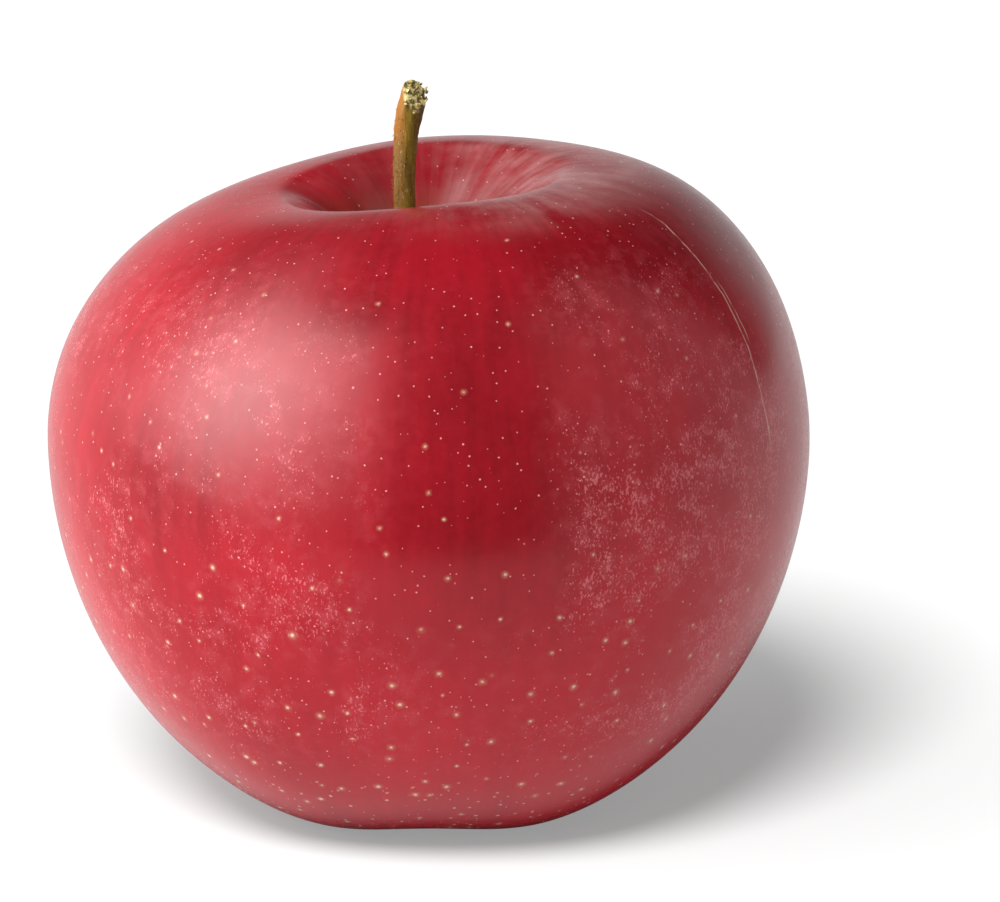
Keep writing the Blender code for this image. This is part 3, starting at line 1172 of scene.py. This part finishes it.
    def between(self, up: float, column: int) -> float:
        """Read the route between two of its rows.

        Args:
            up: The height above the cavity's floor, in millimetres.
            column: Which number of a row is wanted.

        Returns:
            That number at that height.
        """
        for low, high in zip(self.route, self.route[1:]):
            if low[1] <= up <= high[1]:
                share = (up - low[1]) / (high[1] - low[1])
                return low[column] + (high[column] - low[column]) * share
        return self.route[-1][column]

    def lean(self, up: float) -> float:
        """Where the stem's middle is along X at a height, in millimetres."""
        return self.between(up, 0)

    def thickness(self, up: float) -> float:
        """The stem's radius at a height, in metres."""
        return self.between(up, 2) * self.diameter / 2

    def roughen(self, piece: bpy.types.Object) -> None:
        """Give the bark its lumps.

        Args:
            piece: The smoothed stem.
        """
        lumps = bpy.data.textures.new("bark", "CLOUDS")
        lumps.noise_scale = 0.0011
        lumps.noise_depth = 2
        Bench.modify(piece, "DISPLACE", texture=lumps, strength=0.26 * MM, mid_level=0.5)


@dataclass
class Calyx:
    """Five dried sepals round a tuft of dried stamens, in the basin."""

    floor: float
    tuft_floor: float
    sepals: int = 5
    ring: float = 3.6 * MM
    length: float = 5.0 * MM
    width: float = 2.6 * MM
    thickness: float = 0.35 * MM
    rows: int = 8
    lobe_angle: float = math.radians(90.0)
    stamens: int = 18

    def build(self, leaf: bpy.types.Material, thread: bpy.types.Material) -> None:
        """Make the five sepals and the tuft.

        Args:
            leaf: The sepals' finish.
            thread: The stamens' finish.
        """
        for number in range(1, self.sepals + 1):
            self.build_sepal(number, leaf)
        self.build_tuft(thread)

    def build_sepal(self, number: int, finish: bpy.types.Material) -> bpy.types.Object:
        """Shape one sepal from a strip: narrow it row by row, then bend it in and curl it out.

        Args:
            number: Which of the five it is, from 1.
            finish: Its material.

        Returns:
            The sepal.
        """
        chance = random.Random(number)
        Bench.clear()
        bpy.ops.mesh.primitive_grid_add(
            x_subdivisions=4, y_subdivisions=self.rows, size=1.0, location=(0, 0, 0))
        piece = bpy.context.object
        Bench.open(piece)
        bpy.ops.mesh.select_all(action="SELECT")
        bpy.ops.transform.resize(value=(self.width, self.length, 1.0), center_override=(0, 0, 0))
        bpy.ops.transform.translate(value=(0.0, self.length / 2, 0.0))
        model = bmesh.from_edit_mesh(piece.data)
        places = [(v.index, v.co.x, v.co.y) for v in model.verts]
        for row in range(self.rows + 1):
            along = row / self.rows
            here = along * self.length
            chosen = [n for n, _, y in places if abs(y - here) < self.length / self.rows / 2]
            shape = (1 - 0.93 * along) ** 0.6 * (0.9 + along * (1 - along))
            Bench.pick(piece, chosen)
            bpy.ops.transform.resize(value=(shape, 1.0, 1.0), center_override=(0, here, 0))
        for row in range(self.rows):
            here = row / self.rows * self.length
            beyond = [n for n, _, y in places if y > here + self.length / self.rows / 2]
            model = bmesh.from_edit_mesh(piece.data)
            model.verts.ensure_lookup_table()
            hinge = [model.verts[n].co for n, _, y in places
                     if abs(y - here) < self.length / self.rows / 2]
            about = sum(hinge, Vector()) / len(hinge)
            Bench.pick(piece, beyond)
            bend = 22.0 if row == 0 else -9.0 + chance.uniform(-3.0, 3.0)
            Bench.turn(math.radians(bend), Axis.X, about)
        edge = [n for n, x, _ in places if abs(x) > self.width * 0.3]
        Bench.pick(piece, edge)
        bpy.ops.transform.translate(value=(0.0, 0.0, -0.25 * MM))
        bpy.ops.mesh.select_all(action="SELECT")
        bpy.ops.transform.vertex_random(offset=0.10 * MM, seed=number)
        Bench.close()
        Bench.modify(piece, "SOLIDIFY", thickness=self.thickness, offset=0.0)
        Bench.smooth(piece, 2)
        self.stand(piece, self.lobe_angle + 2 * math.pi * (number - 0.5) / self.sepals)
        return Bench.finish(piece, f"dried_sepal_{number}", Slot.CALYX, finish, (f"sepal_{number}",))

    def stand(self, piece: bpy.types.Object, angle: float) -> None:
        """Point a flat sepal down from the basin's floor, and move it to its place on the ring.

        Args:
            piece: The sepal.
            angle: Where on the ring it stands, in radians.
        """
        down = Matrix.Rotation(math.radians(-90.0), 4, "X")
        turn = Matrix.Rotation(angle - math.radians(90.0), 4, "Z")
        spot = (math.cos(angle) * self.ring, math.sin(angle) * self.ring, self.floor)
        place = Matrix.Translation(spot)
        piece.matrix_world = place @ turn @ down

    def build_tuft(self, finish: bpy.types.Material) -> bpy.types.Object:
        """Make the dried stamens: bent threads with a small head each.

        Args:
            finish: Their material.

        Returns:
            The tuft.
        """
        chance = random.Random(4)
        threads = []
        for number in range(self.stamens):
            turn = 2.4 * number
            spread = 0.9 * MM * math.sqrt((number + 0.5) / self.stamens)
            out = Vector((math.cos(turn), math.sin(turn), 0.0))
            foot = out * spread + Vector((0.0, 0.0, self.tuft_floor))
            way = Vector((0.0, 0.0, -1.0)) + out * 0.12
            thread = Thread(foot, way, 0.13 * MM, (0.9, 0.8, 0.75, 2.1, 1.0, 0.5),
                            chance.uniform(0.48, 0.62) * MM, 0.10)
            threads.append(thread.build(chance))
        Bench.join(threads)
        return Bench.finish(threads[0], "dried_stamens", Slot.STAMENS, finish, ("stamens",))


@dataclass(frozen=True)
class Surround:
    """The light that falls from all round: a soft box, a weak panel, a sweep and dim corners."""

    box_way: Colour = (-0.765, -0.345, 0.545)
    box_glow: float = 8.7
    box_spread: float = 6.0
    panel_glow: float = 0.50
    sweep_glow: float = 0.55
    dim_front: float = 0.12
    dim_back: float = 0.05
    backdrop: float = 1.05

    def glow(self, g: Graph, way: Value) -> Value:
        """Add up what shines from each direction.

        Args:
            g: The world's graph.
            way: The direction.

        Returns:
            How bright it is there.
        """
        x, y, z = g.split(way)
        fall = g.times(g.minus(g.along(way, self.box_way), 1.0), self.box_spread)
        box = g.times(g.math("EXPONENT", fall), self.box_glow,
                      g.step(x, -0.30, -0.16, 1, 0), g.step(z, 0.85, 0.97, 1, 0))
        behind = g.plus(y, g.times(z, 0.5))
        panel = g.times(g.step(g.along(way, (0.839, 0.545, 0.0)), -0.08, 0.14),
                        g.step(behind, 0.48, 0.70, self.panel_glow, 0), g.step(z, 0.87, 0.96, 1, 0))
        sweep = g.times(g.step(z, 0.12, 0.45, 1, 0), g.step(y, 0.0, 0.4), g.step(x, 0.45, 0.80, 1, 0),
                        self.sweep_glow)
        dim = g.step(y, -0.2, 0.5, self.dim_front, self.dim_back)
        return g.plus(g.plus(box, panel), g.plus(sweep, dim))

    def build(self) -> None:
        """Make the world. To rays straight from the camera it is plain white instead."""
        world = bpy.data.worlds.new("surround")
        bpy.context.scene.world = world
        world.use_nodes = True
        g = Graph(world.node_tree)
        way = g.add("ShaderNodeTexCoord").outputs["Generated"]
        white = (1.0, 1.0, 1.0)
        around = g.add("ShaderNodeBackground", {"Color": white, "Strength": self.glow(g, way)})
        backdrop = g.add("ShaderNodeBackground", {"Color": white, "Strength": self.backdrop})
        seen = g.add("ShaderNodeLightPath").outputs["Is Camera Ray"]
        choice = g.add("ShaderNodeMixShader",
                       {0: seen, 1: around.outputs[0], 2: backdrop.outputs[0]})
        g.add("ShaderNodeOutputWorld", {"Surface": choice.outputs[0]})


@dataclass
class Studio:
    """A board, the lamp that lights it, the surround and the camera."""

    target: Vector = field(default_factory=lambda: Vector((0.0, 0.0, 38.0 * MM)))
    elevation: float = 15.3
    distance: float = 0.60
    lens: float = 205.5
    shift: tuple[float, float] = (0.071, -0.007)
    board: tuple[float, float] = (6.0, 4.0)
    board_front: float = -0.13
    board_grey: float = 0.17
    board_glow: float = 0.30
    lamp_way: Vector = field(default_factory=lambda: Vector((-0.21, -0.62, 0.775)))
    lamp_energy: float = 13.6
    lamp_spread: float = 24.0

    def build(self) -> None:
        """Set up the board, its lamp, the surround and the camera."""
        self.hang_lamp(self.lay_board())
        Surround().build()
        self.place_camera()
        bpy.context.scene.view_settings.view_transform = "Standard"

    def lay_board(self) -> bpy.types.Object:
        """Lay the board that the apple stands on, which ends a little in front of it.

        The board is grey. It glows for rays straight from the camera only, so it looks whiter
        there than it does in the skin's reflections.

        Returns:
            The board.
        """
        Bench.clear()
        bpy.ops.mesh.primitive_plane_add(
            size=1.0, location=(0.0, self.board_front + self.board[1] / 2, 0.0))
        board = bpy.context.object
        board.name = "white_board"
        board.scale = (*self.board, 1.0)
        bpy.ops.object.transform_apply(location=True, rotation=True, scale=True)
        g = Dressing("white_board")
        seen = g.add("ShaderNodeLightPath").outputs["Is Camera Ray"]
        g.set(Base_Color=(self.board_grey,) * 3, Roughness=0.9, Specular_IOR_Level=0.1,
              Emission_Color=(1.0, 1.0, 1.0), Emission_Strength=g.times(seen, self.board_glow))
        board.data.materials.append(g.material)
        return board

    def hang_lamp(self, board: bpy.types.Object) -> None:
        """Hang a high lamp for the apple's shadow. It lights the board alone, not the apple.

        Args:
            board: The board.
        """
        lamp = bpy.data.lights.new("board_lamp", "SUN")
        lamp.energy = self.lamp_energy
        lamp.angle = math.radians(self.lamp_spread)
        light = bpy.data.objects.new("board_lamp", lamp)
        bpy.context.scene.collection.objects.link(light)
        light.rotation_mode = "QUATERNION"
        light.rotation_quaternion = self.lamp_way.to_track_quat("Z", "Y")
        lit = bpy.data.collections.new("lit_by_board_lamp")
        lit.objects.link(board)
        light.light_linking.receiver_collection = lit

    def place_camera(self) -> None:
        """Place the camera in front of the apple, a little above it."""
        data = bpy.data.cameras.new("camera")
        data.lens = self.lens
        data.shift_x, data.shift_y = self.shift
        data.clip_start = 0.01
        data.dof.use_dof = False
        camera = bpy.data.objects.new("camera", data)
        bpy.context.scene.collection.objects.link(camera)
        up = math.radians(self.elevation)
        way = Vector((0.0, -math.cos(up), math.sin(up)))
        camera.location = self.target + way * self.distance
        camera.rotation_mode = "QUATERNION"
        camera.rotation_quaternion = way.to_track_quat("Z", "Y")
        bpy.context.scene.camera = camera


def main() -> None:
    """Build every piece in order, then the studio."""
    logging.basicConfig(level=logging.INFO, format="%(name)s: %(message)s")
    low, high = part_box("fruit")
    fruit = Fruit(width=high.x - low.x)
    middle = Vector((0.0, 0.0, fruit.belt_height))
    fruit.build(SkinFinish(middle=middle, reach=fruit.width / 2).make())

    foot = Vector((fruit.crown_shift + fruit.cavity_lean, 0.0, fruit.crown_height - fruit.cavity_depth))
    stem = Stem(foot=foot)
    stem.build(BarkFinish().make(foot.x, foot + stem.break_at, stem.break_way))

    calyx = Calyx(floor=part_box("sepal_1")[1].z, tuft_floor=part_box("stamens")[1].z)
    calyx.build(
        DriedFinish("dried_leaf", (0.20, 0.14, 0.07), (0.06, 0.04, 0.02), 1.2 * MM).make(),
        DriedFinish("dried_thread", (0.13, 0.08, 0.04), (0.04, 0.025, 0.015), 0.8 * MM).make())

    Studio().build()


if __name__ == "__main__":
    main()
